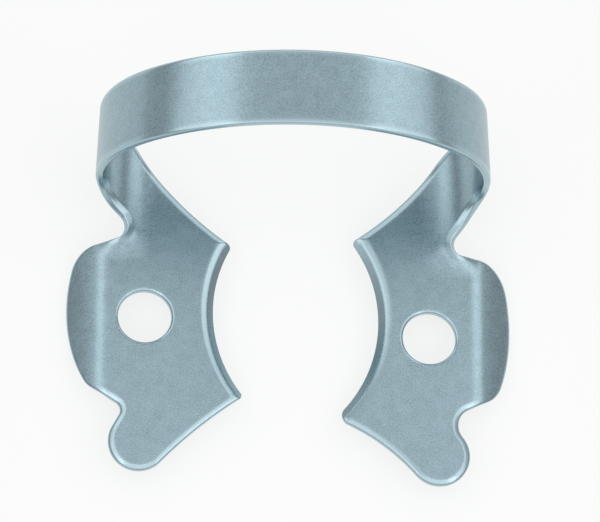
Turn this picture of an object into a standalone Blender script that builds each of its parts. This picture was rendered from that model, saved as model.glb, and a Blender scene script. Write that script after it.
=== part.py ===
"""Rubber dam clamp: one springy steel sheet, blanked flat, tumbled round at its rims and bent to shape.

The blank is drawn flat first. A bow strip joins two jaws, and each jaw has a round forceps hole, two
prongs with a hollow jaw edge between them, a front lobe and a side wing. The flat sheet is then bent:
the strip turns half a circle at each heel, so that the bow arches over the gap between the jaws, and
each wing curls down.

Places on the blank are given as (q, v). q runs along the strip from the line where the heel starts to
bend: above zero it goes up the heel towards the bow, or out into the wing, and below zero it goes
inwards to the prongs. v runs from front to back, from the line between the two forceps holes.
"""
import math
from collections import namedtuple

import bmesh
import bpy
import numpy as np

METRES = 0.001    # sizes here are in millimetres, and the finished part is scaled to metres

# Sheet
SHEET = 0.65          # thickness
RIM_ROUND = 0.2       # radius that tumbling leaves on every edge
HOLE_RADIUS = 1.65    # forceps holes

# Bow and heels, measured at the middle of the sheet
HALF_SPAN = 11.65     # centre plane to the upright part of the bow
BOW_HEIGHT = 13.8     # jaw plates to the crown
HEEL_RADIUS = 3.5
CROWN_ANGLE = math.radians(47)    # the crown's share of the quarter turn, the shoulder takes the rest
BOW_WIDTH = 4.65
BOW_BACK = 12.9       # hole line to the bow's back edge
FLARE_WIDTH = 0.2     # the bow's front edge stands this much further out than its back edge

# Rounds where the neck of each jaw runs into the bow: place along the strip and radius
NECK_BACK_PLACE = 5.2
NECK_BACK_RADIUS = 5.0
NECK_FRONT_PLACE = 6.05
NECK_FRONT_RADIUS = 3.8

# The heel's bend dies away in the plate over this length in front of the neck's notch, and over this
# length beside the notch towards the wing
HEEL_FADE = 2.1
WING_FADE = 1.6

# Wing: a short bend, then a flatter curve out to its rim
WING_BEND_RADIUS = 2.0
WING_BEND_ANGLE = math.radians(25)
WING_CURVE_RADIUS = 9.0

# Slope ground along the jaw edge between the prongs
SLOPE_WIDTH = 0.65
SLOPE_DEPTH = 0.5
SLOPE_SHOULDER = 0.45   # width of the rounded shoulder above the slope
SLOPE_RUN_OUT = 1.2     # length over which the slope starts beside each prong
SLOPE_RIM = 0.1         # radius of the lower rim under the slope

# Facets
CHORD_ERROR = 0.007     # how far a straight facet may stray from a curve
WIDEST_TURN = math.radians(24)    # the most that an arc turns from one facet to the next
HOLE_SIDES = 40
FADE_STEPS = 5          # facets along the fade of the heel's bend
TOP_STEPS = 3           # facets of the edge's section above its upright part, and below it
BOTTOM_STEPS = 2
ON_LINE = 0.01          # a point this close to a line counts as on it
CREASE = math.radians(35)         # facets that meet at more than this are shaded as an edge

# One jaw of the blank. A round is (q, v, radius), and a hollow round has a radius below zero. A sweep
# is the radius of the long arc between two rounds: neck to prong, prong to prong, prong to lobe and
# along the wing's side. wing_bend is where the wing starts to curl down.
Jaw = namedtuple("Jaw", "hole back_prong front_prong lobe front_notch wing_front wing_back back_notch "
                        "neck_sweep jaw_sweep front_sweep side_sweep wing_bend")

LEFT_JAW = Jaw(
    hole=(0.65, 0.35),
    back_prong=(-4.35, 5.05, 0.25),
    front_prong=(-5.10, -4.40, 0.30),
    lobe=(0.90, -7.55, 1.85),
    front_notch=(2.65, -5.65, -0.60),
    wing_front=(2.85, -2.80, 1.70),
    wing_back=(3.20, 2.85, 2.15),
    back_notch=(2.70, 6.00, -0.75),
    neck_sweep=22.75,
    jaw_sweep=8.50,
    front_sweep=29.0,
    side_sweep=9.10,
    wing_bend=2.70,
)
RIGHT_JAW = Jaw(
    hole=(0.70, -0.40),
    back_prong=(-3.75, 5.65, 0.25),
    front_prong=(-4.05, -5.45, 0.65),
    lobe=(1.30, -7.85, 1.90),
    front_notch=(3.65, -5.90, -1.15),
    wing_front=(3.40, -2.40, 2.10),
    wing_back=(3.25, 2.25, 2.65),
    back_notch=(2.88, 5.62, -0.70),
    neck_sweep=20.50,
    jaw_sweep=8.60,
    front_sweep=12.40,
    side_sweep=9.90,
    wing_bend=3.15,
)

SIDES = ((1, RIGHT_JAW), (-1, LEFT_JAW))

# The bow's two radii follow from its span, its height and the crown's angle
SIN, COS = math.sin(CROWN_ANGLE), math.cos(CROWN_ANGLE)
RISE = BOW_HEIGHT - HEEL_RADIUS
CROWN_RADIUS = (COS * HALF_SPAN - RISE * (1 - SIN)) / (SIN * COS - (1 - SIN) * (1 - COS))
SHOULDER_RADIUS = (HALF_SPAN - CROWN_RADIUS * SIN) / (1 - SIN)

HEEL_LENGTH = HEEL_RADIUS * math.pi / 2
SHOULDER_LENGTH = SHOULDER_RADIUS * (math.pi / 2 - CROWN_ANGLE)
CROWN_LENGTH = CROWN_RADIUS * CROWN_ANGLE
HALF_LENGTH = HEEL_LENGTH + SHOULDER_LENGTH + CROWN_LENGTH   # heel's bend line to the crown's centre
FLAT_START = HALF_SPAN - HEEL_RADIUS                         # centre plane to the heel's bend line
BOW_FRONT = BOW_BACK - BOW_WIDTH                             # hole line to the bow's front edge


def ease(t):
    """Smooth step from 0 to 1."""
    t = min(1.0, max(0.0, t))
    return t * t * (3 - 2 * t)


def facet_angle(radius):
    """Turn between two facets of an arc that keeps within the chord error."""
    return min(WIDEST_TURN, 2 * math.acos(max(0.0, 1 - CHORD_ERROR / abs(radius))))


# Outline of the blank

def sweep(start, end, radius, hollow):
    """The long round that runs from one round to the next and touches both."""
    to_start = radius + start[2] if hollow else radius - start[2]
    to_end = radius + end[2] if hollow else radius - end[2]
    dq, dv = end[0] - start[0], end[1] - start[1]
    span = math.hypot(dq, dv)
    along = (span ** 2 + to_start ** 2 - to_end ** 2) / (2 * span)
    aside = math.sqrt(max(to_start ** 2 - along ** 2, 0.0)) * (-1 if hollow else 1)
    return (start[0] + (dq * along - dv * aside) / span,
            start[1] + (dv * along + dq * aside) / span,
            -radius if hollow else radius)


def jaw_rounds(jaw):
    """Every round that the sheet's edge passes, from the bow's back edge to its front edge."""
    neck_back = (NECK_BACK_PLACE, BOW_BACK - NECK_BACK_RADIUS, NECK_BACK_RADIUS)
    return [
        (HALF_LENGTH, BOW_BACK, 0.0),
        neck_back,
        sweep(neck_back, jaw.back_prong, jaw.neck_sweep, hollow=True),
        jaw.back_prong,
        sweep(jaw.back_prong, jaw.front_prong, jaw.jaw_sweep, hollow=True),
        jaw.front_prong,
        sweep(jaw.front_prong, jaw.lobe, jaw.front_sweep, hollow=True),
        jaw.lobe,
        jaw.front_notch,
        jaw.wing_front,
        sweep(jaw.wing_front, jaw.wing_back, jaw.side_sweep, hollow=False),
        jaw.wing_back,
        jaw.back_notch,
        (NECK_FRONT_PLACE, BOW_FRONT - NECK_FRONT_RADIUS, -NECK_FRONT_RADIUS),
        (HALF_LENGTH, BOW_FRONT, 0.0),
    ]


JAW_EDGE = 4     # the jaw edge's place in the list of rounds


def edge_angles(rounds):
    """Direction of the inward normal on the straight run from each round to the next, as on a belt."""
    angles = []
    for (q1, v1, r1), (q2, v2, r2) in zip(rounds, rounds[1:]):
        dq, dv = q2 - q1, v2 - v1
        lean = (r2 - r1) / math.hypot(dq, dv)
        angles.append(math.atan2(dv, dq) + math.acos(min(1.0, max(-1.0, lean))))
    return angles


def round_turn(turn, radius):
    """The way an edge turns round a round: to the left, or to the right round a hollow one."""
    turn %= 2 * math.pi
    if radius < 0:
        turn -= 2 * math.pi
    return turn if abs(turn) < 1.9 * math.pi else 0.0


def jaw_edge_points(jaw):
    """Points along one jaw's edge: (q, v, inward normal's angle, share of the ground slope)."""
    rounds = jaw_rounds(jaw)
    angles = edge_angles(rounds)
    points = [(rounds[0][0], rounds[0][1], angles[0], 0.0)]
    for i in range(1, len(rounds) - 1):
        q, v, radius = rounds[i]
        turn = round_turn(angles[i] - angles[i - 1], radius)
        steps = max(1, math.ceil(abs(turn) / facet_angle(radius)))
        for k in range(steps + 1):
            angle = angles[i - 1] + turn * k / steps
            from_end = min(k, steps - k) / steps * abs(turn * radius)
            slope = ease(from_end / SLOPE_RUN_OUT) if i == JAW_EDGE else 0.0
            points.append((q - radius * math.cos(angle), v - radius * math.sin(angle), angle, slope))
    points.append((rounds[-1][0], rounds[-1][1], angles[-1], 0.0))
    return points


def sheet_edge():
    """The closed edge of the whole blank: (u, v, inward normal, slope). u runs along the strip from
    the crown's centre and is above zero on the right."""
    edge = []
    for side, jaw in SIDES:
        points = [(side * (HALF_LENGTH - q), v, (-side * math.cos(angle), math.sin(angle)), slope)
                  for q, v, angle, slope in jaw_edge_points(jaw)]
        edge += points[:-1] if side > 0 else points[:0:-1]
    return without_doubles(edge)


def without_doubles(points, closest=0.02):
    """Leave out points that lie on the one before them."""
    kept = []
    for point in points:
        if not kept or math.dist(point[:2], kept[-1][:2]) > closest:
            kept.append(point)
    if math.dist(kept[0][:2], kept[-1][:2]) < closest:
        kept.pop()
    return kept


def hole_edge(side, jaw):
    """The round edge of a forceps hole, in the same form as the sheet's edge."""
    centre_u, centre_v = side * (HALF_LENGTH - jaw.hole[0]), jaw.hole[1]
    edge = []
    for k in range(HOLE_SIDES):
        angle = 2 * math.pi * k / HOLE_SIDES
        out = (math.cos(angle), math.sin(angle))
        edge.append((centre_u + HOLE_RADIUS * out[0], centre_v + HOLE_RADIUS * out[1], out, 0.0))
    return edge


# Section of the sheet's edge

def edge_section(slope):
    """(inset, height) down the edge, from the top face to the underside. slope is 0 for the plain
    rounded edge and 1 for the ground jaw edge."""
    top, bottom = SHEET / 2, -SHEET / 2
    section = []
    for k in range(TOP_STEPS + 1):
        angle = math.pi / 2 * k / TOP_STEPS
        plain = (RIM_ROUND * (1 - math.sin(angle)), top - RIM_ROUND * (1 - math.cos(angle)))
        ground = ground_point(k / TOP_STEPS)
        section.append(tuple(a * (1 - slope) + b * slope for a, b in zip(plain, ground)))
    rim = RIM_ROUND * (1 - slope) + SLOPE_RIM * slope
    for k in range(BOTTOM_STEPS + 1):
        angle = math.pi / 2 * k / BOTTOM_STEPS
        section.append((rim * (1 - math.cos(angle)), bottom + rim * (1 - math.sin(angle))))
    return section


def ground_point(way):
    """A point of the ground section, from 0 at the top face to 1 at the foot of the slope. The rounded
    shoulder takes the first two thirds of the way, and is a curve that leaves both faces smoothly."""
    foot = np.array((0.0, SHEET / 2 - SLOPE_DEPTH))
    corner = np.array((SLOPE_WIDTH, SHEET / 2))
    back = corner + (SLOPE_SHOULDER / 2, 0.0)
    front = corner + (foot - corner) * SLOPE_SHOULDER / 2 / SLOPE_WIDTH
    bend = min(1.0, way * 3 / 2)
    if bend < 1:
        return back * (1 - bend) ** 2 + corner * 2 * bend * (1 - bend) + front * bend ** 2
    return front + (foot - front) * (way * 3 - 2)


# Flat solid

def edge_rings(bm, edge):
    """One ring of vertices round the edge for each step of the section."""
    sections = [edge_section(slope) for *_, slope in edge]
    rings = []
    for level in range(len(sections[0])):
        ring = []
        for (u, v, inward, _), section in zip(edge, sections):
            inset, height = section[level]
            ring.append(bm.verts.new((u + inward[0] * inset, v + inward[1] * inset, height)))
        rings.append(ring)
    return rings


def ring_edges(bm, ring):
    """The edges that close one ring."""
    return [bm.edges.get(pair) or bm.edges.new(pair) for pair in zip(ring, ring[1:] + ring[:1])]


def edges_of(faces):
    """The edges of some faces, each once."""
    return list(dict.fromkeys(e for f in faces for e in f.edges))


def cut(bm, place, direction, keep):
    """Cut the faces that keep() chooses along a straight line across the blank."""
    faces = [f for f in bm.faces if keep(f.calc_center_median())]
    verts = list(dict.fromkeys(v for f in faces for v in f.verts))
    geom = verts + edges_of(faces) + faces
    bmesh.ops.bisect_plane(bm, geom=geom, dist=ON_LINE, plane_co=place, plane_no=direction)


def merge_caps(bm):
    """Join the triangles of the flat faces, but keep the lines through the crown and the holes, so that
    no face runs all the way round a hole."""
    def on_line(edge):
        (u1, v1, _), (u2, v2, _) = (vert.co for vert in edge.verts)
        hole_v = (RIGHT_JAW if u1 > 0 else LEFT_JAW).hole[1]
        return (max(abs(u1), abs(u2)) <= ON_LINE
                or max(abs(v1 - hole_v), abs(v2 - hole_v)) <= ON_LINE)

    bm.normal_update()
    inner = [e for e in bm.edges if all(abs(f.normal.z) > 0.9999 for f in e.link_faces) and not on_line(e)]
    bmesh.ops.dissolve_limit(bm, angle_limit=math.radians(0.1), verts=[], edges=inner)


def flat_blank():
    """The blank as a flat closed solid with rounded edges."""
    bm = bmesh.new()
    top, bottom = [], []
    for edge in (sheet_edge(), hole_edge(1, RIGHT_JAW), hole_edge(-1, LEFT_JAW)):
        rings = edge_rings(bm, edge)
        for upper, lower in zip(rings, rings[1:]):
            for a, b, c, d in zip(upper, upper[1:] + upper[:1], lower[1:] + lower[:1], lower):
                bm.faces.new((a, b, c, d))
        top += ring_edges(bm, rings[0])
        bottom += ring_edges(bm, rings[-1])
    for border in (top, bottom):
        bmesh.ops.triangle_fill(bm, use_beauty=True, edges=border)
    cut(bm, (0, 0, 0), (1, 0, 0), lambda centre: True)
    for side, jaw in SIDES:
        cut(bm, (0, jaw.hole[1], 0), (0, 1, 0), lambda centre: centre.x * side > 0)
    merge_caps(bm)
    return bm


# Bend lines

def arc_places(start, length, radius):
    """Places along an arc of the strip at which the sheet gets a bend line."""
    steps = max(1, math.ceil(length / (radius * facet_angle(radius))))
    return [start + length * k / steps for k in range(steps + 1)]


def score_bend_lines(bm):
    """Cut the flat solid along each line at which the bent sheet changes direction."""
    heel = arc_places(0.0, HEEL_LENGTH, HEEL_RADIUS)
    shoulder = arc_places(HEEL_LENGTH, SHOULDER_LENGTH, SHOULDER_RADIUS)
    crown = arc_places(HEEL_LENGTH + SHOULDER_LENGTH, CROWN_LENGTH, CROWN_RADIUS)
    for side, jaw in SIDES:
        notch_v = jaw.back_notch[1]

        def on_side(centre):
            return centre.x * side > 0

        def behind_fade(centre):
            return on_side(centre) and centre.y > notch_v - HEEL_FADE

        def before_notch(centre):
            return on_side(centre) and centre.y < notch_v

        def on_wing(centre):
            return before_notch(centre) and HALF_LENGTH - abs(centre.x) > jaw.wing_bend

        def cut_across(place, keep):
            cut(bm, (side * (HALF_LENGTH - place), 0, 0), (1, 0, 0), keep)

        for k in range(FADE_STEPS + 1):
            cut(bm, (0, notch_v - HEEL_FADE * k / FADE_STEPS, 0), (0, 1, 0), on_side)
        for place in heel + shoulder[1:] + crown[1:-1]:
            cut_across(place, behind_fade)
        cut_across(jaw.wing_bend, before_notch)
        short_bend = arc_places(jaw.wing_bend, WING_BEND_RADIUS * WING_BEND_ANGLE, WING_BEND_RADIUS)
        side_q, _, side_radius = sweep(jaw.wing_front, jaw.wing_back, jaw.side_sweep, hollow=False)
        wing_rim = side_q + side_radius
        long_curve = arc_places(short_bend[-1], wing_rim - short_bend[-1], WING_CURVE_RADIUS)
        for place in short_bend[1:] + long_curve[1:]:
            cut_across(place, on_wing)


# Bending

def strip_line(q):
    """Where the strip's middle runs after bending: distance from the centre plane, height, turn."""
    if q <= 0:
        return FLAT_START + q, 0.0, 0.0
    turn = min(q / HEEL_RADIUS, math.pi / 2)
    out = FLAT_START + HEEL_RADIUS * math.sin(turn)
    height = HEEL_RADIUS * (1 - math.cos(turn))
    if q > HEEL_LENGTH:
        lean = min((q - HEEL_LENGTH) / SHOULDER_RADIUS, math.pi / 2 - CROWN_ANGLE)
        out -= SHOULDER_RADIUS * (1 - math.cos(lean))
        height += SHOULDER_RADIUS * math.sin(lean)
        turn += lean
    if q > HEEL_LENGTH + SHOULDER_LENGTH:
        lean = (q - HEEL_LENGTH - SHOULDER_LENGTH) / CROWN_RADIUS
        out -= CROWN_RADIUS * (math.sin(CROWN_ANGLE) - math.sin(CROWN_ANGLE - lean))
        height += CROWN_RADIUS * (math.cos(CROWN_ANGLE - lean) - math.cos(CROWN_ANGLE))
        turn += lean
    return out, height, turn


def wing_line(q, wing_bend):
    """Where the plate's middle runs into the wing: distance from the centre plane, height, turn."""
    bent = min(max(q - wing_bend, 0.0) / WING_BEND_RADIUS, WING_BEND_ANGLE)
    curved = max(q - wing_bend - WING_BEND_RADIUS * WING_BEND_ANGLE, 0.0) / WING_CURVE_RADIUS
    full = WING_BEND_ANGLE + curved
    out = (FLAT_START + min(q, wing_bend) + WING_BEND_RADIUS * math.sin(bent)
           + WING_CURVE_RADIUS * (math.sin(full) - math.sin(WING_BEND_ANGLE)))
    height = -(WING_BEND_RADIUS * (1 - math.cos(bent))
               + WING_CURVE_RADIUS * (math.cos(WING_BEND_ANGLE) - math.cos(full)))
    return out, height, -(bent + curved)


def heel_share(q, v, jaw):
    """How much of the heel's bend the sheet follows at a place: all of it behind the notch, and less
    and less of it in front of the notch and beside it."""
    notch_q, notch_v, notch_r = jaw.back_notch
    if v >= notch_v:
        return 1.0
    return ease((v - notch_v) / HEEL_FADE + 1) * (1 - ease((q - notch_q - notch_r) / WING_FADE))


def bend_point(u, v, height, side, jaw):
    """Move a point of the flat blank to its place on the bent sheet."""
    q = HALF_LENGTH - abs(u)
    share = heel_share(q, v, jaw)
    out, up, turn = (a * share + b * (1 - share)
                     for a, b in zip(strip_line(q), wing_line(q, jaw.wing_bend)))
    out -= height * math.sin(turn)
    up += height * math.cos(turn)
    flare = FLARE_WIDTH * (BOW_BACK - v) / BOW_WIDTH * share * ease(q / HEEL_LENGTH)
    return side * out * (HALF_SPAN + flare) / HALF_SPAN, v, up


def bend(bm):
    """Split the scored blank into triangles and bend it."""
    bmesh.ops.triangulate(bm, faces=bm.faces, ngon_method="EAR_CLIP")
    for vert in bm.verts:
        u, v, height = vert.co
        side, jaw = SIDES[0] if u >= 0 else SIDES[1]
        vert.co = bend_point(u, v, height, side, jaw)
    bmesh.ops.recalc_face_normals(bm, faces=bm.faces)


def stand_on_origin(bm):
    """Centre the part over the origin with its lowest point at zero height, and scale it to metres."""
    places = np.array([vert.co for vert in bm.verts])
    low, high = places.min(axis=0), places.max(axis=0)
    middle = (low + high) / 2
    bmesh.ops.translate(bm, verts=bm.verts, vec=(-middle[0], -middle[1], -low[2]))
    bmesh.ops.scale(bm, verts=bm.verts, vec=(METRES, METRES, METRES))


def steel():
    """Satin spring steel."""
    material = bpy.data.materials.new("satin_steel")
    material.use_nodes = True
    shader = material.node_tree.nodes["Principled BSDF"]
    shader.inputs["Base Color"].default_value = (0.36, 0.45, 0.50, 1.0)
    shader.inputs["Metallic"].default_value = 1.0
    shader.inputs["Roughness"].default_value = 0.38
    return material


def build_clamp():
    """The finished clamp as one object."""
    bm = flat_blank()
    score_bend_lines(bm)
    bend(bm)
    stand_on_origin(bm)
    mesh = bpy.data.meshes.new("clamp")
    bm.to_mesh(mesh)
    bm.free()
    mesh.shade_smooth()
    mesh.set_sharp_from_angle(angle=CREASE)
    mesh.materials.append(steel())
    clamp = bpy.data.objects.new("clamp", mesh)
    bpy.context.scene.collection.objects.link(clamp)
    return clamp


for old in list(bpy.data.objects):
    bpy.data.objects.remove(old, do_unlink=True)
build_clamp()
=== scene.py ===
"""Rubber dam clamp: the finely modelled steel sheet, its finish, and a plain pale stage.

The clamp is one springy sheet, blanked flat, tumbled, ground along its jaw edges and bent. This
file draws the same blank as the frame's plain solid with much finer facets, bends it in the same
way and fits it to the solid's box. Where nothing else is said, lengths are in millimetres.

Places on the blank are given as (q, v). q runs along the strip from the line where the heel starts
to bend: above zero it goes up the heel towards the bow, or out into the wing, and below zero it
goes inwards to the prongs. v runs from front to back, from the line between the two forceps holes.
Points of the whole blank are given as (u, v, height). u runs along the strip from the crown's
centre and is above zero on the right. The height is measured from the middle of the sheet.
"""

import math
from collections import namedtuple
from types import SimpleNamespace

import bmesh
import bpy
import numpy as np
from bpy.props import FloatProperty, FloatVectorProperty, PointerProperty
from bpy.types import Operator, Panel, PropertyGroup
from mathutils import Matrix, Vector
from mathutils.geometry import delaunay_2d_cdt


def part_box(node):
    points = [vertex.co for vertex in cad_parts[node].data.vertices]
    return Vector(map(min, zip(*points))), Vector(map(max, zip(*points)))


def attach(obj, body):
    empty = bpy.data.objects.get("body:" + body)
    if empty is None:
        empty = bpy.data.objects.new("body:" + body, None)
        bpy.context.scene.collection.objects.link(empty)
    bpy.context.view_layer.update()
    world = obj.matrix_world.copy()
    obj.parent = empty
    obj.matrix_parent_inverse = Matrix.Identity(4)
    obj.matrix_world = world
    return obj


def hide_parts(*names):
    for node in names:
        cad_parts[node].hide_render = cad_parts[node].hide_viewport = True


bl_info = {
    "name": "Rubber Dam Clamp",
    "version": (1, 0, 0),
    "blender": (4, 5, 0),
    "location": "3D View > Sidebar > Dam Clamp",
    "description": "Builds a winged rubber dam clamp of satin spring steel on a pale stage",
    "category": "Add Mesh",
}

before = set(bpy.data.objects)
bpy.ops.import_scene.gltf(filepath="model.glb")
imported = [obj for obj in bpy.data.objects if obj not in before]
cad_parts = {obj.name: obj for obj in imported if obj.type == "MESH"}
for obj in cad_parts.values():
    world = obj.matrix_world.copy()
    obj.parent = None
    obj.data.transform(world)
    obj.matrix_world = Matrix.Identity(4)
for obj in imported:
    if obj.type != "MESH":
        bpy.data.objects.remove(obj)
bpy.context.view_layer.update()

MM = 0.001      # a millimetre in metres


# Outline of the blank. A round is (q, v, radius), and a hollow round has a radius below zero. A
# sweep is the radius of the long arc between two rounds: neck to prong, prong to prong, prong to
# lobe and along the wing's side. wing_bend is where the wing starts to curl down.
Jaw = namedtuple("Jaw", "hole back_prong front_prong lobe front_notch "
                        "wing_front wing_back back_notch "
                        "neck_sweep jaw_sweep front_sweep side_sweep wing_bend")

LEFT_JAW = Jaw(
    hole=(0.65, 0.35),
    back_prong=(-4.35, 5.05, 0.25),
    front_prong=(-5.10, -4.40, 0.30),
    lobe=(0.90, -7.55, 1.85),
    front_notch=(2.65, -5.65, -0.60),
    wing_front=(2.85, -2.80, 1.70),
    wing_back=(3.20, 2.85, 2.15),
    back_notch=(2.70, 6.00, -0.75),
    neck_sweep=22.75,
    jaw_sweep=8.50,
    front_sweep=29.0,
    side_sweep=9.10,
    wing_bend=2.70,
)
RIGHT_JAW = Jaw(
    hole=(0.70, -0.40),
    back_prong=(-3.75, 5.65, 0.25),
    front_prong=(-4.05, -5.45, 0.65),
    lobe=(1.30, -7.85, 1.90),
    front_notch=(3.65, -5.90, -1.15),
    wing_front=(3.40, -2.40, 2.10),
    wing_back=(3.25, 2.25, 2.65),
    back_notch=(2.88, 5.62, -0.70),
    neck_sweep=20.50,
    jaw_sweep=8.60,
    front_sweep=12.40,
    side_sweep=9.90,
    wing_bend=3.15,
)
SIDES = ((1, RIGHT_JAW), (-1, LEFT_JAW))

# Rounds where the neck runs into the bow, as (q, radius): at the bow's back edge and, hollow, at
# its front edge
NECK_BACK = (5.2, 5.0)
NECK_FRONT = (6.05, 3.8)

HEEL_FADE = 2.1     # length over which the heel's bend dies away in front of the back notch
WING_FADE = 1.6     # and beside it


# Sizes and looks that a user would change

class SheetSizes(PropertyGroup):
    """The steel sheet and what blanking, tumbling and grinding leave on it."""
    thickness: FloatProperty(
        name="Thickness", description="Thickness of the sheet",
        default=0.65 * MM, unit="LENGTH")
    rim_width: FloatProperty(
        name="Rim width", description="Width of the worn slope at the top face's rims",
        default=0.4 * MM, unit="LENGTH")
    rim_drop: FloatProperty(
        name="Rim drop", description="How far that slope falls",
        default=0.25 * MM, unit="LENGTH")
    lower_rim: FloatProperty(
        name="Lower rim", description="Radius of the rims under the sheet",
        default=0.2 * MM, unit="LENGTH")
    hole_radius: FloatProperty(
        name="Hole radius", description="Radius of the forceps holes",
        default=1.65 * MM, unit="LENGTH")
    wing_rim: FloatProperty(
        name="Wing rim", description="Share of the rim's size that is left along the wings",
        default=0.3, subtype="FACTOR")
    hole_rim: FloatProperty(
        name="Hole rim", description="Share of the rim's width at the forceps holes",
        default=0.42, subtype="FACTOR")
    hole_drop: FloatProperty(
        name="Hole drop", description="Share of the rim's fall at the forceps holes",
        default=0.65, subtype="FACTOR")
    slope_width: FloatProperty(
        name="Slope width", description="Width of the slope ground along each jaw edge",
        default=0.43 * MM, unit="LENGTH")
    slope_depth: FloatProperty(
        name="Slope depth", description="Depth of the grinding at the jaw edge",
        default=0.5 * MM, unit="LENGTH")
    shoulder_width: FloatProperty(
        name="Shoulder width", description="Width of the flatter facet above that slope",
        default=0.38 * MM, unit="LENGTH")
    shoulder_angle: FloatProperty(
        name="Shoulder angle", description="Tilt of that facet",
        default=math.radians(21), subtype="ANGLE")
    facet: FloatProperty(
        name="Facet", description="Usual length of a facet's sides",
        default=0.13 * MM, unit="LENGTH")


class BowSizes(PropertyGroup):
    """The bow and its heels, measured at the middle of the sheet."""
    half_span: FloatProperty(
        name="Half span", description="Centre plane to the bow's upright part",
        default=11.65 * MM, unit="LENGTH")
    height: FloatProperty(
        name="Height", description="Jaw plates to the crown",
        default=13.8 * MM, unit="LENGTH")
    heel: FloatProperty(
        name="Heel", description="Radius of the bend at each heel",
        default=3.5 * MM, unit="LENGTH")
    crown_angle: FloatProperty(
        name="Crown angle", description="The crown's share of each quarter turn",
        default=math.radians(47), subtype="ANGLE")
    width: FloatProperty(
        name="Width", description="Width of the bow strip",
        default=4.65 * MM, unit="LENGTH")
    back: FloatProperty(
        name="Back", description="Hole line to the bow's back edge",
        default=12.9 * MM, unit="LENGTH")
    flare: FloatProperty(
        name="Flare", description="How much further out the bow's front edge stands",
        default=0.2 * MM, unit="LENGTH")


class WingSizes(PropertyGroup):
    """The curl of both wings: a short bend, then a flatter curve."""
    bend: FloatProperty(
        name="Bend", description="Radius of the short bend",
        default=2.0 * MM, unit="LENGTH")
    angle: FloatProperty(
        name="Angle", description="Turn of the short bend",
        default=math.radians(25), subtype="ANGLE")
    curve: FloatProperty(
        name="Curve", description="Radius of the flatter curve",
        default=9.0 * MM, unit="LENGTH")


class SteelLook(PropertyGroup):
    """Finish of the steel, with painted shade on the ground jaw slopes and painted highlight on
    the rims and jaw shoulders.
    """
    colour: FloatVectorProperty(
        name="Colour", description="Tumbled satin steel",
        default=(0.31, 0.425, 0.475), subtype="COLOR")
    # Painted shade: the steep ground jaw slopes get this darker colour for the shade that falls on
    # them
    slope_shade_colour: FloatVectorProperty(
        name="Ground colour", description="Ground jaw slopes",
        default=(0.29, 0.395, 0.44), subtype="COLOR")
    # Rims and jaw shoulders: a real burnish, and a lighter colour that is painted highlight
    rim_burnish_and_highlight_colour: FloatVectorProperty(
        name="Rim colour", description="Burnished rims",
        default=(0.385, 0.51, 0.56), subtype="COLOR")
    roughness: FloatProperty(
        name="Roughness", description="Satin gloss of the sheet",
        default=0.30, subtype="FACTOR")
    rim_roughness: FloatProperty(
        name="Rim roughness", description="Gloss of the burnished rims",
        default=0.22, subtype="FACTOR")
    grain: FloatProperty(
        name="Grain", description="Size of the tumbled grain",
        default=0.08 * MM, unit="LENGTH")
    grain_tone: FloatProperty(
        name="Grain tone", description="How much lighter and darker the grain is",
        default=0.3, subtype="FACTOR")
    grain_depth: FloatProperty(
        name="Grain depth", description="How strongly the grain roughens the surface",
        default=0.03, subtype="FACTOR")
    rim_polish: FloatProperty(
        name="Rim polish", description="Share of the grain that is gone from the rims",
        default=0.75, subtype="FACTOR")


class StageLook(PropertyGroup):
    """Floor, backdrop, lamps and camera."""
    floor_colour: FloatVectorProperty(
        name="Floor colour", description="Pale floor",
        default=(0.86, 0.87, 0.86), subtype="COLOR")
    white: FloatVectorProperty(
        name="White", description="White of the background",
        default=(0.975, 0.985, 0.975), subtype="COLOR")
    white_share: FloatProperty(
        name="White share", description="Share of that white in what is seen of the floor",
        default=0.8, subtype="FACTOR")
    zenith: FloatProperty(
        name="Zenith", description="Brightness of the studio overhead", default=0.78)
    horizon: FloatProperty(
        name="Horizon", description="Brightness of the studio at the sides", default=0.42)
    side_light: FloatProperty(
        name="Side light", description="Power of each side lamp",
        default=0.0074, unit="POWER")
    front_light: FloatProperty(
        name="Front light", description="Power of the front lamp",
        default=0.0125, unit="POWER")
    back_light: FloatProperty(
        name="Back light", description="Power of the back lamp",
        default=0.015, unit="POWER")
    top_light: FloatProperty(
        name="Top light", description="Power of the lamp overhead",
        default=0.0014, unit="POWER")
    camera_distance: FloatProperty(
        name="Camera distance", description="Camera to the jaw plates",
        default=240 * MM, unit="LENGTH")
    lens: FloatProperty(
        name="Lens", description="Focal length on a sensor 36 mm wide",
        default=234.0, unit="CAMERA")


class ClampSettings(PropertyGroup):
    """Everything that this add-on keeps on the scene."""
    sheet: PointerProperty(type=SheetSizes, name="Sheet", description="Sizes of the sheet")
    bow: PointerProperty(type=BowSizes, name="Bow", description="Sizes of the bow")
    wing: PointerProperty(type=WingSizes, name="Wings", description="Curl of the wings")
    steel: PointerProperty(type=SteelLook, name="Steel", description="Finish of the steel")
    stage: PointerProperty(type=StageLook, name="Stage", description="Floor, lamps and camera")


# Flat blank

def ease(t):
    """Smooth step from 0 to 1."""
    t = np.clip(t, 0.0, 1.0)
    return t * t * (3 - 2 * t)


def in_millimetres(group):
    """A property group's values, with the lengths turned from metres to millimetres."""
    values = {}
    for name in group.__annotations__:
        is_length = group.bl_rna.properties[name].unit == "LENGTH"
        values[name] = getattr(group, name) / MM if is_length else getattr(group, name)
    return SimpleNamespace(**values)


def bow_lengths(bow):
    """Add the lengths that follow from the bow's driving sizes."""
    sin, cos = math.sin(bow.crown_angle), math.cos(bow.crown_angle)
    rise = bow.height - bow.heel
    bow.crown = (cos * bow.half_span - rise * (1 - sin)) / (sin * cos - (1 - sin) * (1 - cos))
    bow.shoulder = (bow.half_span - bow.crown * sin) / (1 - sin)
    bow.heel_length = bow.heel * math.pi / 2
    bow.shoulder_length = bow.shoulder * (math.pi / 2 - bow.crown_angle)
    bow.half_length = bow.heel_length + bow.shoulder_length + bow.crown * bow.crown_angle
    bow.flat_start = bow.half_span - bow.heel
    bow.front = bow.back - bow.width
    return bow


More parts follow.
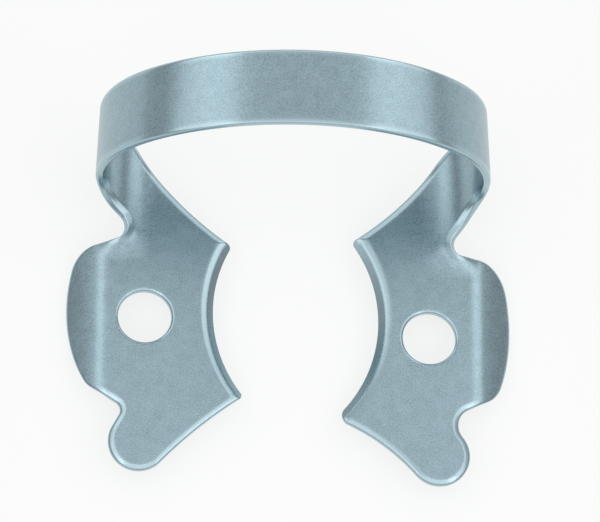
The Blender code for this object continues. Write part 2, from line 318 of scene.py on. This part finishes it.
def sweep(start, end, radius, hollow):
    """The long round that runs from one round to the next and touches both."""
    to_start = radius + start[2] if hollow else radius - start[2]
    to_end = radius + end[2] if hollow else radius - end[2]
    dq, dv = end[0] - start[0], end[1] - start[1]
    span = math.hypot(dq, dv)
    along = (span ** 2 + to_start ** 2 - to_end ** 2) / (2 * span)
    aside = math.sqrt(max(to_start ** 2 - along ** 2, 0.0)) * (-1 if hollow else 1)
    return (start[0] + (dq * along - dv * aside) / span,
            start[1] + (dv * along + dq * aside) / span,
            -radius if hollow else radius)


def jaw_rounds(jaw, bow):
    """Every round that the sheet's edge passes, from the bow's back edge to its front edge."""
    neck_back = (NECK_BACK[0], bow.back - NECK_BACK[1], NECK_BACK[1])
    neck_front = (NECK_FRONT[0], bow.front - NECK_FRONT[1], -NECK_FRONT[1])
    return [
        (bow.half_length, bow.back, 0.0),
        neck_back,
        sweep(neck_back, jaw.back_prong, jaw.neck_sweep, hollow=True),
        jaw.back_prong,
        sweep(jaw.back_prong, jaw.front_prong, jaw.jaw_sweep, hollow=True),
        jaw.front_prong,
        sweep(jaw.front_prong, jaw.lobe, jaw.front_sweep, hollow=True),
        jaw.lobe,
        jaw.front_notch,
        jaw.wing_front,
        sweep(jaw.wing_front, jaw.wing_back, jaw.side_sweep, hollow=False),
        jaw.wing_back,
        jaw.back_notch,
        neck_front,
        (bow.half_length, bow.front, 0.0),
    ]


def edge_angles(rounds):
    """Direction of the inward normal on each straight run between two rounds, as on a belt."""
    angles = []
    for (q1, v1, r1), (q2, v2, r2) in zip(rounds, rounds[1:]):
        dq, dv = q2 - q1, v2 - v1
        lean = (r2 - r1) / math.hypot(dq, dv)
        angles.append(math.atan2(dv, dq) + math.acos(min(1.0, max(-1.0, lean))))
    return angles


FULL_TURN = 2 * math.pi
LONGEST_TURN = 1.9 * math.pi    # a turn that comes out longer is really none, and off by rounding
WIDEST_TURN = math.radians(10)  # the most that an edge turns from one facet to the next
SHORTEST_PART = 10              # a run shorter than the tenth part of a facet is left out
RUN_STRETCH = 1.2               # facets on straight runs are up to this many times as long


def round_turn(turn, radius):
    """The way an edge turns round a round: to the left, or to the right round a hollow one."""
    turn %= FULL_TURN
    if radius < 0:
        turn -= FULL_TURN
    return turn if abs(turn) < LONGEST_TURN else 0.0


def jaw_edge(jaw, bow, facet):
    """Points along one jaw's edge, about a facet apart: (q, v, inward normal's angle)."""
    rounds = jaw_rounds(jaw, bow)
    angles = edge_angles(rounds)
    points = [(rounds[0][0], rounds[0][1], angles[0])]
    for (q, v, radius), before, after in zip(rounds[1:-1], angles, angles[1:]):
        turn = round_turn(after - before, radius)
        steps = max(1, math.ceil(abs(turn * radius) / facet), math.ceil(abs(turn) / WIDEST_TURN))
        for k in range(steps + 1):
            angle = before + turn * k / steps
            points.append((q - radius * math.cos(angle), v - radius * math.sin(angle), angle))
    points.append((rounds[-1][0], rounds[-1][1], angles[-1]))
    return split_runs(points, facet)


def split_runs(points, facet):
    """Split the straight runs of an edge, and leave out points that lie on the one before them."""
    kept = [points[0]]
    for q, v, angle in points[1:]:
        q0, v0, angle0 = kept[-1]
        length = math.dist((q0, v0), (q, v))
        if length < facet / SHORTEST_PART:
            continue
        steps = math.ceil(length / (RUN_STRETCH * facet))
        for k in range(1, steps + 1):
            way = k / steps
            kept.append((q0 + (q - q0) * way, v0 + (v - v0) * way,
                         angle0 if k < steps else angle))
    return kept


def sheet_edge(bow, facet):
    """The closed edge of the blank as an array of (u, v, inward normal's u, its v)."""
    edge = []
    for side, jaw in SIDES:
        points = [(side * (bow.half_length - q), v, -side * math.cos(angle), math.sin(angle))
                  for q, v, angle in jaw_edge(jaw, bow, facet)]
        edge += points[:-1] if side > 0 else points[:0:-1]
    return np.array(edge)


def hole_edge(side, jaw, bow, radius, facet):
    """The round edge of a forceps hole, in the same form as the sheet's edge."""
    count = math.ceil(FULL_TURN * radius / facet)
    angles = np.linspace(0, FULL_TURN, count, endpoint=False)
    out = np.column_stack((np.cos(angles), np.sin(angles)))
    centre = np.array((side * (bow.half_length - jaw.hole[0]), jaw.hole[1]))
    return np.hstack((centre + radius * out, out))


def blank_edges(sheet, bow):
    """Every edge of the blank: the outer one, then those of the two holes."""
    return [sheet_edge(bow, sheet.facet)] + [
        hole_edge(side, jaw, bow, sheet.hole_radius, sheet.facet) for side, jaw in SIDES]


CAP_INSET = 0.2         # where the flat caps begin, less than the smallest prong's radius
RIM_STEPS = 6           # facets round each rim
SIDE_STEPS = 2          # facets down the upright part of the edge
RIM_SOFTNESS = 0.2      # share of the rim's width over which its slope sets in
FOOT_WIDTH = 0.3        # share of the rim's width that its rounded foot takes
FOOT_DROP = 0.35        # and its share of the fall
WING_RIM_FADE = 1.3     # length over which the rim gets narrower where a wing starts

# Insets at which the top's facets follow the edge, and how much nearer they may be to another edge
TOP_RINGS = (0.28, 0.36, 0.44, 0.52, 0.6, 0.7, 0.8, 0.9)
RING_SLACK = 0.01

GRID_GAP = 0.6          # facets between those rings and the grid inside them
WELD_PART = 1000        # points nearer than the thousandth part of a facet are taken as one
CHUNK = 500             # points whose distances are worked out at a time, which saves memory


def strip_place(points, side, bow):
    """q of each point, from the heel line of one side."""
    return bow.half_length - side * points[:, 0]


def rim_fall(inset, sheet):
    """How far the top face has fallen at an inset from the edge: a slope with a rounded foot."""
    way = np.clip(1 - inset / sheet.rim_width, 0.0, 1.0)
    slope = np.where(way < RIM_SOFTNESS, way ** 2 / (2 * RIM_SOFTNESS), way - RIM_SOFTNESS / 2)
    slope = slope / (1 - RIM_SOFTNESS / 2)
    foot = np.clip(1 - (1 - way) / FOOT_WIDTH, 0.0, 1.0)
    return sheet.rim_drop * ((1 - FOOT_DROP) * slope + FOOT_DROP * (1 - np.sqrt(1 - foot ** 2)))


def rim_scale(points, sheet, bow):
    """The rim's width and fall at each point, as shares of the full ones: it is small along the
    wings, and narrow and steep at the holes."""
    width, fall = np.ones((2, len(points)))
    for side, jaw in SIDES:
        q = strip_place(points, side, bow)
        on_wing = (side * points[:, 0] > 0) & (points[:, 1] < jaw.back_notch[1])
        lost = on_wing * (1 - sheet.wing_rim) * ease((q - jaw.wing_bend) / WING_RIM_FADE)
        from_hole = np.hypot(q - jaw.hole[0], points[:, 1] - jaw.hole[1]) - sheet.hole_radius
        at_hole = from_hole < sheet.rim_width
        for share, left_at_hole in ((width, sheet.hole_rim), (fall, sheet.hole_drop)):
            share -= lost
            share[at_hole] = left_at_hole
    return width, fall


def edge_section(sheet, width, fall):
    """The levels of points down the edge, from the top face to the underside. Each is the insets
    and heights of its points, which follow from the upper rim's share of width and fall there."""
    top = sheet.thickness / 2
    start = math.asin(1 - CAP_INSET / sheet.rim_width)
    section = []
    for angle in np.linspace(start, math.pi / 2, RIM_STEPS + 1):
        inset = sheet.rim_width * (1 - math.sin(angle))
        section.append((inset * width, top - rim_fall(inset, sheet) * fall))
    rim = np.full_like(width, sheet.lower_rim)
    upper, lower = top - sheet.rim_drop * fall, rim - top
    for k in range(1, SIDE_STEPS):
        section.append((np.zeros_like(width), upper + (lower - upper) * k / SIDE_STEPS))
    for angle in np.linspace(0.0, math.pi / 2, RIM_STEPS + 1):
        section.append((rim * (1 - math.cos(angle)), rim * (1 - math.sin(angle)) - top))
    return section


def inside(points, loop):
    """Which points lie inside a closed loop, by counting the sides to the right of each."""
    found = np.zeros(len(points), dtype=bool)
    x, y = points[:, 0], points[:, 1]
    for (x1, y1), (x2, y2) in zip(loop, np.roll(loop, -1, axis=0)):
        if y1 != y2:
            crossing = (y1 > y) != (y2 > y)
            found ^= crossing & (x < x1 + (y - y1) * (x2 - x1) / (y2 - y1))
    return found


def on_sheet(points, loops):
    """Which points lie inside the first loop and in none of the others."""
    found = inside(points, loops[0])
    for hole in loops[1:]:
        found &= ~inside(points, hole)
    return found


def edge_distance(points, loops):
    """The shortest way from each point to the closed loops."""
    nearest = np.full(len(points), np.inf)
    for loop in loops:
        along = np.roll(loop, -1, axis=0) - loop
        for chunk in np.array_split(np.arange(len(points)), 1 + len(points) // CHUNK):
            to_point = points[chunk, None] - loop
            way = np.clip((to_point * along).sum(axis=2) / (along ** 2).sum(axis=1), 0.0, 1.0)
            gap = np.linalg.norm(to_point - way[..., None] * along, axis=2)
            nearest[chunk] = np.minimum(nearest[chunk], gap.min(axis=1))
    return nearest


def top_rings(edge, width, outlines):
    """Points that follow the edge inside the top face, where no other edge is nearer."""
    rings = []
    for ring in TOP_RINGS:
        inset = ring - CAP_INSET * (1 - width)
        points = edge[:, :2] + edge[:, 2:] * inset[:, None]
        rings.append(points[edge_distance(points, outlines) > inset - RING_SLACK])
    return np.vstack(rings)


def cap(loops, rings, margin, facet):
    """Points and triangles that fill the outer loop and leave the other loops open. The first
    points are those of the loops, in order, then come the rings, and the rest stand on a grid that
    keeps a margin from the loops."""
    borders = np.vstack(loops)
    low, high = borders.min(axis=0), borders.max(axis=0)
    columns = np.arange(low[0] + facet / 2, high[0], facet)
    rows = np.arange(low[1] + facet / 2, high[1], facet)
    grid = np.array(np.meshgrid(columns, rows)).reshape(2, -1).T
    grid = grid[on_sheet(grid, loops)]
    grid = grid[edge_distance(grid, loops) > margin + GRID_GAP * facet]
    points = [Vector(point) for point in np.vstack((borders, rings, grid))]
    sides, start = [], 0
    for loop in loops:
        count = len(loop)
        sides += [(start + k, start + (k + 1) % count) for k in range(count)]
        start += count
    result = delaunay_2d_cdt(points, sides, [], 0, facet / WELD_PART, False)
    verts, triangles = np.array([tuple(point) for point in result[0]]), np.array(result[2])
    return verts, triangles[on_sheet(verts[triangles].mean(axis=1), loops)]


def edge_faces(around, level_count):
    """The faces down each closed edge, from one level of points to the next."""
    faces, start, level_size = [], 0, sum(around)
    for count in around:
        for level in range(level_count - 1):
            upper, lower = level * level_size, (level + 1) * level_size
            for k in range(count):
                here, there = start + k, start + (k + 1) % count
                faces.append((upper + here, upper + there, lower + there, lower + here))
        start += count
    return faces


def flat_blank(sheet, bow):
    """The blank as points (u, v, height) and faces."""
    edges = blank_edges(sheet, bow)
    outlines = [edge[:, :2] for edge in edges]
    around = [len(edge) for edge in edges]
    level_size = sum(around)
    edge = np.vstack(edges)
    width, fall = rim_scale(edge, sheet, bow)
    points = [np.column_stack((edge[:, :2] + edge[:, 2:] * inset[:, None], height))
              for inset, height in edge_section(sheet, width, fall)]
    level_count = len(points)
    faces = edge_faces(around, level_count)
    total = level_count * level_size
    for level in (0, level_count - 1):
        is_top = level == 0
        rings, margin = np.empty((0, 2)), 0.0
        if is_top:
            rings, margin = top_rings(edge, width, outlines), TOP_RINGS[-1] - CAP_INSET
        loops = np.split(points[level][:, :2], np.cumsum(around)[:-1])
        verts, triangles = cap(loops, rings, margin, sheet.facet)
        extra = verts[level_size:]
        height = np.full(len(extra), -sheet.thickness / 2)
        if is_top:
            wide, deep = rim_scale(extra, sheet, bow)
            inset = edge_distance(extra, outlines) / wide
            height = sheet.thickness / 2 - deep * rim_fall(inset, sheet)
        points.append(np.column_stack((extra, height)))
        places = np.concatenate((np.arange(level_size) + level * level_size,
                                 np.arange(len(extra)) + total))
        faces += [tuple(places[list(triangle)]) for triangle in triangles]
        total += len(extra)
    return np.vstack(points), faces


# Grinding and bending

BURNISH_RISE = 2.5      # the burnish and the painted highlight set in over the rim's width divided by this
SLOPE_SOFTNESS = 0.05   # half the width of the soft line where the grinding changes its tilt


def rim_share(points, sheet, bow):
    """How much each point belongs to the rims, from 0 to 1. They are burnished and painted lighter
    as highlight.
    """
    inset = edge_distance(points[:, :2], [edge[:, :2] for edge in blank_edges(sheet, bow)])
    width, _ = rim_scale(points, sheet, bow)
    return ease(BURNISH_RISE * (1 - inset / (sheet.rim_width * width)))


def soft_ramp(x):
    """x above zero and nothing below it, with a soft start."""
    start = np.maximum(x + SLOPE_SOFTNESS, 0.0) ** 2 / (4 * SLOPE_SOFTNESS)
    return np.where(x < SLOPE_SOFTNESS, start, x)


def soft_step(x):
    """0 below zero and 1 above it, with the same softness."""
    return ease(x / (2 * SLOPE_SOFTNESS) + 0.5)


def jaw_grinding(points, sheet, bow):
    """How far the grinding lies under the top face at each point, and how much each point belongs
    to its shoulder and to its slope, from 0 to 1."""
    whole = sheet.slope_width + sheet.shoulder_width
    tilt = math.tan(sheet.shoulder_angle)
    steeper = (sheet.slope_depth - tilt * whole) / sheet.slope_width
    drop, shoulder, slope = np.zeros((3, len(points)))
    for side, jaw in SIDES:
        q = strip_place(points, side, bow)
        centre_q, centre_v, radius = sweep(jaw.back_prong, jaw.front_prong, jaw.jaw_sweep,
                                           hollow=True)
        inwards = np.hypot(q - centre_q, points[:, 1] - centre_v) + radius
        mine = side * points[:, 0] > 0
        in_whole, in_slope = whole - inwards, sheet.slope_width - inwards
        drop += mine * (tilt * soft_ramp(in_whole) + steeper * soft_ramp(in_slope))
        shoulder += mine * soft_step(in_whole)
        slope += mine * soft_step(in_slope)
    return drop, shoulder - slope, slope


def grind(points, sheet, bow):
    """Lower the top face to the grinding, press what is under it down with it, and leave the
    underside as it is. Returns how much each point belongs to the shoulder and to the slope."""
    drop, shoulder, slope = jaw_grinding(points, sheet, bow)
    half = sheet.thickness / 2
    edge = np.maximum(points[:, 2], half - sheet.rim_drop)
    extra = np.maximum(drop - (half - edge), 0.0)
    points[:, 2] -= extra * (points[:, 2] + half) / (edge + half)
    above = points[:, 2] > -half
    return shoulder * above, slope * above


def strip_line(q, bow):
    """Where the strip's middle runs when bent: distance from the centre plane, height, turn."""
    heel = np.clip(q / bow.heel, 0.0, math.pi / 2)
    side = np.clip((q - bow.heel_length) / bow.shoulder, 0.0, math.pi / 2 - bow.crown_angle)
    top = np.clip((q - bow.heel_length - bow.shoulder_length) / bow.crown, 0.0, None)
    out = (bow.flat_start + np.minimum(q, 0.0) + bow.heel * np.sin(heel)
           - bow.shoulder * (1 - np.cos(side))
           - bow.crown * (math.sin(bow.crown_angle) - np.sin(bow.crown_angle - top)))
    height = (bow.heel * (1 - np.cos(heel)) + bow.shoulder * np.sin(side)
              + bow.crown * (np.cos(bow.crown_angle - top) - math.cos(bow.crown_angle)))
    return np.array((out, height, heel + side + top))


def wing_line(q, wing_bend, bow, wing):
    """Where the plate's middle runs into the wing, in the same form."""
    radius, angle, curve = wing.bend, wing.angle, wing.curve
    bent = np.clip((q - wing_bend) / radius, 0.0, angle)
    full = angle + np.clip((q - wing_bend - radius * angle) / curve, 0.0, None)
    out = (bow.flat_start + np.minimum(q, wing_bend) + radius * np.sin(bent)
           + curve * (np.sin(full) - math.sin(angle)))
    height = -(radius * (1 - np.cos(bent)) + curve * (math.cos(angle) - np.cos(full)))
    return np.array((out, height, -(bent + full - angle)))


def heel_share(q, v, jaw):
    """How much of the heel's bend the sheet follows: all of it behind the back notch, and less and
    less of it in front of the notch and beside it."""
    notch_q, notch_v, notch_r = jaw.back_notch
    share = ease((v - notch_v) / HEEL_FADE + 1) * (1 - ease((q - notch_q - notch_r) / WING_FADE))
    return np.where(v >= notch_v, 1.0, share)


def bend(points, bow, wing):
    """Move the points of the flat blank to their places on the bent sheet."""
    u, v, height = points.T
    bent = np.zeros_like(points)
    for side, jaw in SIDES:
        q = bow.half_length - np.abs(u)
        share = heel_share(q, v, jaw)
        out, up, turn = (strip_line(q, bow) * share
                         + wing_line(q, jaw.wing_bend, bow, wing) * (1 - share))
        out = out - height * np.sin(turn)
        up = up + height * np.cos(turn)
        flare = bow.flare * (bow.back - v) / bow.width * share * ease(q / bow.heel_length)
        place = np.column_stack((side * out * (bow.half_span + flare) / bow.half_span, v, up))
        mine = u >= 0 if side > 0 else u < 0
        bent[mine] = place[mine]
    return bent


def fit_to_box(points, box):
    """Stand the points in the box of the frame's solid, the same shape in coarser facets."""
    low, high = points.min(axis=0), points.max(axis=0)
    box_low, box_high = np.array(box[0]), np.array(box[1])
    return box_low + (points - low) * (box_high - box_low) / (high - low)


# Steel

MOTTLE_SCALE = 0.12             # the slow mottle's noise scale, as a share of the fine grain's
FINE_SHARE, SLOW_SHARE = 0.8, 0.2       # what the two give to the mask
NOISE_RANGE = (0.3, 0.7)        # nearly all of the noise lies between these
GLOSS_SPREAD = 0.05             # how much rougher and smoother the grain makes the steel

# Sockets of a Mix node, by its kind: first value, second value, result
MIX_SOCKETS = {"FLOAT": (2, 3, 0), "RGBA": (6, 7, 2)}


def socket(group, name, kind, output=False):
    """Add a socket to a node group."""
    group.interface.new_socket(
        name=name, in_out="OUTPUT" if output else "INPUT", socket_type=kind)


def feed(tree, value, slot):
    """Link a value into a socket, or set it there if it is a plain number or colour."""
    if isinstance(value, bpy.types.NodeSocket):
        tree.links.new(value, slot)
    else:
        slot.default_value = value


def add_node(tree, kind, **inputs):
    """Add a node and set its plain input values, with spaces in their names as underscores."""
    node = tree.nodes.new(kind)
    for name, value in inputs.items():
        node.inputs[name.replace("_", " ")].default_value = value
    return node


def math_node(tree, operation, first, second):
    """A Math node on two links or numbers."""
    node = tree.nodes.new("ShaderNodeMath")
    node.operation = operation
    feed(tree, first, node.inputs[0])
    feed(tree, second, node.inputs[1])
    return node.outputs[0]


def mix_node(tree, kind, factor, first, second, blend="MIX"):
    """A Mix node on two numbers or two colours, each of them a link or a plain value."""
    node = tree.nodes.new("ShaderNodeMix")
    node.data_type, node.blend_type = kind, blend
    first_slot, second_slot, result = MIX_SOCKETS[kind]
    tree.links.new(factor, node.inputs["Factor"])
    feed(tree, first, node.inputs[first_slot])
    feed(tree, second, node.inputs[second_slot])
    return node.outputs[result]


def map_range(tree, value, to_min, to_max, from_min=0.0, from_max=1.0):
    """A Map Range node that carries a link's value from one range to another."""
    node = add_node(tree, "ShaderNodeMapRange", From_Min=from_min, From_Max=from_max,
                    To_Min=to_min, To_Max=to_max)
    tree.links.new(value, node.inputs["Value"])
    return node.outputs["Result"]


def point_mask(tree, name):
    """A mask that the sheet's points carry."""
    node = tree.nodes.new("ShaderNodeAttribute")
    node.attribute_name = name
    return node.outputs["Fac"]


def grain_group():
    """Fine tumbled grain with a slower mottle: a height for the bump, a mask for the finish."""
    group = bpy.data.node_groups.new("tumbled_grain", "ShaderNodeTree")
    socket(group, "Vector", "NodeSocketVector")
    socket(group, "Grain", "NodeSocketFloat")
    socket(group, "Height", "NodeSocketFloat", output=True)
    socket(group, "Mottle", "NodeSocketFloat", output=True)
    into, out = group.nodes.new("NodeGroupInput"), group.nodes.new("NodeGroupOutput")
    fine = add_node(group, "ShaderNodeTexNoise", Detail=3.0, Roughness=0.6)
    slow = add_node(group, "ShaderNodeTexNoise", Detail=4.0, Roughness=0.55)
    slow_scale = math_node(group, "MULTIPLY", into.outputs["Grain"], MOTTLE_SCALE)
    for noise, scale in ((fine, into.outputs["Grain"]), (slow, slow_scale)):
        group.links.new(into.outputs["Vector"], noise.inputs["Vector"])
        group.links.new(scale, noise.inputs["Scale"])
    mottle = math_node(group, "ADD",
                       math_node(group, "MULTIPLY", fine.outputs["Fac"], FINE_SHARE),
                       math_node(group, "MULTIPLY", slow.outputs["Fac"], SLOW_SHARE))
    group.links.new(fine.outputs["Fac"], out.inputs["Height"])
    group.links.new(mottle, out.inputs["Mottle"])
    return group


def steel_material(look):
    """Satin spring steel. The ground jaw slopes are painted darker as shade. The rims and the jaw
    shoulders are burnished and painted lighter as highlight.
    """
    material = bpy.data.materials.new("satin_steel")
    material.use_nodes = True
    tree = material.node_tree
    shader = tree.nodes["Principled BSDF"]
    shader.inputs["Metallic"].default_value = 1.0
    place = tree.nodes.new("ShaderNodeTexCoord")
    grain = tree.nodes.new("ShaderNodeGroup")
    grain.node_tree = grain_group()
    grain.inputs["Grain"].default_value = 1 / look.grain
    tree.links.new(place.outputs["Object"], grain.inputs["Vector"])
    mottle = grain.outputs["Mottle"]
    # The ground mask paints the jaw slopes darker as shade. The rim mask burnishes the rims and
    # jaw shoulders and paints them lighter as highlight.
    ground, rim = point_mask(tree, "ground"), point_mask(tree, "rim")
    grained = map_range(tree, rim, 1.0, 1 - look.rim_polish)    # how much grain is left

    # Painted shade: a darker colour on the ground jaw slopes
    colour = mix_node(tree, "RGBA", ground, (*look.colour, 1.0), (*look.slope_shade_colour, 1.0))
    # Painted highlight: a lighter colour on the rims and jaw shoulders, which are also burnished
    colour = mix_node(tree, "RGBA", rim, colour, (*look.rim_burnish_and_highlight_colour, 1.0))
    tone = map_range(tree, mottle, 1 - look.grain_tone, 1 + look.grain_tone, *NOISE_RANGE)
    colour = mix_node(tree, "RGBA", grained, colour, tone, blend="MULTIPLY")
    tree.links.new(colour, shader.inputs["Base Color"])

    gloss = map_range(tree, mottle, look.roughness - GLOSS_SPREAD,
                      look.roughness + GLOSS_SPREAD, *NOISE_RANGE)
    gloss = mix_node(tree, "FLOAT", rim, gloss, look.rim_roughness)
    tree.links.new(gloss, shader.inputs["Roughness"])

    bump = add_node(tree, "ShaderNodeBump", Distance=look.grain)
    feed(tree, math_node(tree, "MULTIPLY", grained, look.grain_depth), bump.inputs["Strength"])
    tree.links.new(grain.outputs["Height"], bump.inputs["Height"])
    tree.links.new(bump.outputs["Normal"], shader.inputs["Normal"])
    return material


class CLAMP_OT_sheet(Operator):
    """Build the clamp's bent steel sheet in fine facets and give it its finish"""
    bl_idname = "clamp.sheet"
    bl_label = "Steel sheet"

    def execute(self, context):
        settings = context.scene.dam_clamp
        sheet, wing = in_millimetres(settings.sheet), in_millimetres(settings.wing)
        bow = bow_lengths(in_millimetres(settings.bow))
        points, faces = flat_blank(sheet, bow)
        rim = rim_share(points, sheet, bow)
        # The slope's mask carries the painted shade of the ground jaw slopes, and the shoulder's
        # mask carries a painted highlight
        shoulder, ground = grind(points, sheet, bow)
        points = fit_to_box(bend(points, bow, wing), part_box("clamp"))
        mesh = bpy.data.meshes.new("clamp_sheet")
        mesh.from_pydata(points, [], faces)
        # The rims and the jaw shoulders take the burnish and a painted highlight
        burnish_and_highlight = np.maximum(rim, shoulder)
        for name, share in (("ground", ground), ("rim", burnish_and_highlight)):
            mesh.attributes.new(name, "FLOAT", "POINT").data.foreach_set("value", share)
        work = bmesh.new()
        work.from_mesh(mesh)
        bmesh.ops.recalc_face_normals(work, faces=work.faces)
        work.to_mesh(mesh)
        work.free()
        mesh.shade_smooth()
        mesh.materials.append(steel_material(settings.steel))
        piece = bpy.data.objects.new("clamp_sheet", mesh)
        context.scene.collection.objects.link(piece)
        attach(piece, "root")
        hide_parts("clamp")
        return {"FINISHED"}


# Stage

CAMERA_TILT = math.radians(18.34)       # from straight above towards the front
CAMERA_LEAN = math.radians(5.95)        # and towards the left
CAMERA_ROLL = math.radians(0.29)
SENSOR_WIDTH = 36
CLIP_START = 10                         # how near the camera sees
HOLE_LINE = (-0.2425, -1.575, 1.4428)   # middle of the line between the holes, in the frame
AIM = (0.819, 4.118)                    # the view's centre, to the right and up from there

# Lamps: where they hang, and how wide and deep they are
SIDE_PLACES, SIDE_SIZE = ((32, 5, 35), (-32, 5, 38)), (90, 33)
FRONT_PLACE, FRONT_SIZE = (0, -53, 45), (120, 55)
BACK_PLACE, BACK_SIZE = (0, 75, 48), (150, 56)
TOP_PLACE, TOP_SIZE = (0, -5, 42), (60, 36)
LAMP_TARGET = (0, 3, 5)                 # what the front and back lamps face

FLOOR_HALF = 600                        # half the floor's width
SKY_FADE = (0.25, 0.8)                  # heights on a unit sky where horizon turns into zenith


def view_axes():
    """The camera's right, up and back directions as the rows of a matrix."""
    return (Matrix.Rotation(-CAMERA_ROLL, 3, "Z") @ Matrix.Rotation(-CAMERA_TILT, 3, "X")
            @ Matrix.Rotation(CAMERA_LEAN, 3, "Y"))


def add_camera(scene, look):
    """The camera at the photograph's viewing angle."""
    axes = view_axes()
    data = bpy.data.cameras.new("camera")
    data.lens = look.lens
    data.sensor_width = SENSOR_WIDTH
    data.clip_start = CLIP_START * MM
    camera = bpy.data.objects.new("camera", data)
    right, up, back = axes
    target = (Vector(HOLE_LINE) + right * AIM[0] + up * AIM[1]) * MM
    place = target + back * look.camera_distance
    camera.matrix_world = Matrix.Translation(place) @ axes.transposed().to_4x4()
    scene.collection.objects.link(camera)
    scene.camera = camera


def add_lamp(scene, name, place, target, size, power):
    """A soft rectangular lamp that faces its target."""
    data = bpy.data.lights.new(name, "AREA")
    data.shape = "RECTANGLE"
    data.size, data.size_y = size[0] * MM, size[1] * MM
    data.energy = power
    lamp = bpy.data.objects.new(name, data)
    lamp.location = Vector(place) * MM
    lamp.rotation_euler = (Vector(place) - Vector(target)).to_track_quat("Z", "Y").to_euler()
    lamp.visible_camera = False
    scene.collection.objects.link(lamp)


def floor_material(look):
    """Pale matt floor. The camera and the metal see it mixed with the background's white."""
    material = bpy.data.materials.new("pale_floor")
    material.use_nodes = True
    tree = material.node_tree
    shader = tree.nodes["Principled BSDF"]
    shader.inputs["Base Color"].default_value = (*look.floor_colour, 1.0)
    shader.inputs["Roughness"].default_value = 1.0
    shader.inputs["Specular IOR Level"].default_value = 0.0
    white = add_node(tree, "ShaderNodeEmission", Color=(*look.white, 1.0), Strength=1.0)
    path = tree.nodes.new("ShaderNodeLightPath")
    seen = math_node(tree, "MAXIMUM", path.outputs["Is Camera Ray"], path.outputs["Is Glossy Ray"])
    seen = math_node(tree, "MAXIMUM", seen, path.outputs["Is Transmission Ray"])
    mix = tree.nodes.new("ShaderNodeMixShader")
    tree.links.new(math_node(tree, "MULTIPLY", seen, look.white_share), mix.inputs["Fac"])
    tree.links.new(shader.outputs["BSDF"], mix.inputs[1])
    tree.links.new(white.outputs["Emission"], mix.inputs[2])
    tree.links.new(mix.outputs["Shader"], tree.nodes["Material Output"].inputs["Surface"])
    return material


def add_floor(scene, look):
    """A wide pale floor that keeps the object's shadow."""
    half = FLOOR_HALF * MM
    corners = [(-half, -half, 0), (half, -half, 0), (half, half, 0), (-half, half, 0)]
    mesh = bpy.data.meshes.new("floor")
    mesh.from_pydata(corners, [], [(0, 1, 2, 3)])
    mesh.materials.append(floor_material(look))
    floor = bpy.data.objects.new("floor", mesh)
    scene.collection.objects.link(floor)


def set_world(scene, look):
    """Soft studio light from all round, brighter overhead than at the horizon."""
    world = bpy.data.worlds.new("studio")
    world.use_nodes = True
    tree = world.node_tree
    place = tree.nodes.new("ShaderNodeTexCoord")
    split = tree.nodes.new("ShaderNodeSeparateXYZ")
    tree.links.new(place.outputs["Generated"], split.inputs[0])
    strength = map_range(tree, split.outputs["Z"], look.horizon, look.zenith, *SKY_FADE)
    sky = tree.nodes["Background"]
    sky.inputs["Color"].default_value = (1.0, 1.0, 1.0, 1.0)
    tree.links.new(strength, sky.inputs["Strength"])
    scene.world = world


class CLAMP_OT_stage(Operator):
    """Set up the pale floor, the soft lamps and the camera"""
    bl_idname = "clamp.stage"
    bl_label = "Stage"

    def execute(self, context):
        scene, look = context.scene, context.scene.dam_clamp.stage
        add_floor(scene, look)
        set_world(scene, look)
        for place in SIDE_PLACES:
            across = (0, *place[1:])
            add_lamp(scene, "side_lamp", place, across, SIDE_SIZE, look.side_light)
        add_lamp(scene, "front_lamp", FRONT_PLACE, LAMP_TARGET, FRONT_SIZE, look.front_light)
        add_lamp(scene, "back_lamp", BACK_PLACE, LAMP_TARGET, BACK_SIZE, look.back_light)
        under = (*TOP_PLACE[:2], 0)
        add_lamp(scene, "top_lamp", TOP_PLACE, under, TOP_SIZE, look.top_light)
        add_camera(scene, look)
        scene.view_settings.view_transform = "Standard"
        return {"FINISHED"}


class CLAMP_PT_panel(Panel):
    """Lists the clamp's pieces and settings"""
    bl_idname = "CLAMP_PT_panel"
    bl_label = "Dam Clamp"
    bl_space_type = "VIEW_3D"
    bl_region_type = "UI"
    bl_category = "Dam Clamp"

    def draw(self, context):
        settings = context.scene.dam_clamp
        for operator in OPERATORS:
            self.layout.operator(operator.bl_idname)
        for name in ("sheet", "bow", "wing", "steel", "stage"):
            group = getattr(settings, name)
            box = self.layout.box()
            box.label(text=name.capitalize())
            for field in group.__annotations__:
                box.prop(group, field)


OPERATORS = (CLAMP_OT_sheet, CLAMP_OT_stage)
CLASSES = (SheetSizes, BowSizes, WingSizes, SteelLook, StageLook, ClampSettings,
           *OPERATORS, CLAMP_PT_panel)


def register():
    for cls in CLASSES:
        bpy.utils.register_class(cls)
    bpy.types.Scene.dam_clamp = PointerProperty(type=ClampSettings)


def unregister():
    del bpy.types.Scene.dam_clamp
    for cls in reversed(CLASSES):
        bpy.utils.unregister_class(cls)


def main():
    """Build everything."""
    register()
    bpy.ops.clamp.sheet()
    bpy.ops.clamp.stage()


if __name__ == "__main__":
    main()
